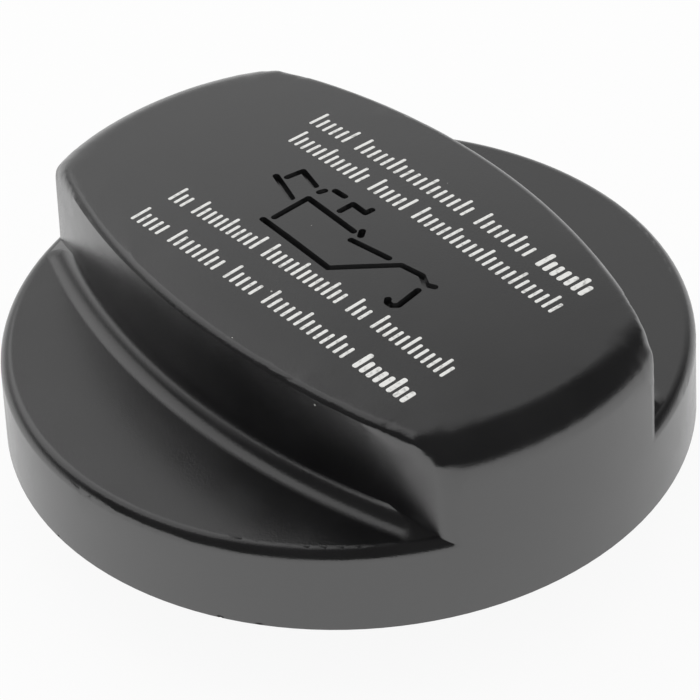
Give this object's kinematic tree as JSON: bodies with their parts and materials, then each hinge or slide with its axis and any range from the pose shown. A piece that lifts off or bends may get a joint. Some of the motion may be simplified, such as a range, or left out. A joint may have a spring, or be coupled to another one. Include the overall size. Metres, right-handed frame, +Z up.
{
  "type": "oil filler cap",
  "caption": "Round black plastic oil filler cap with a raised grip bar between finger recesses, a bayonet spigot and a sealing ring.",
  "frame": {"origin": "centre of the open lower end of the spigot, on the cap's axis, where the cap stands", "axes": "+Z up along the cap's axis, +X along the grip bar, +Y across it towards one finger recess"},
  "size_m": [0.08, 0.08, 0.0362],
  "materials": {
    "cap_plastic": "fine grained black moulding",
    "spigot_plastic": "plain black moulding",
    "seal_rubber": "smooth black rubber"
  },
  "bodies": {
    "root": {"cap_shell": "cap_plastic", "bayonet_spigot": "spigot_plastic", "sealing_ring": "seal_rubber"}
  },
  "joints": []
}
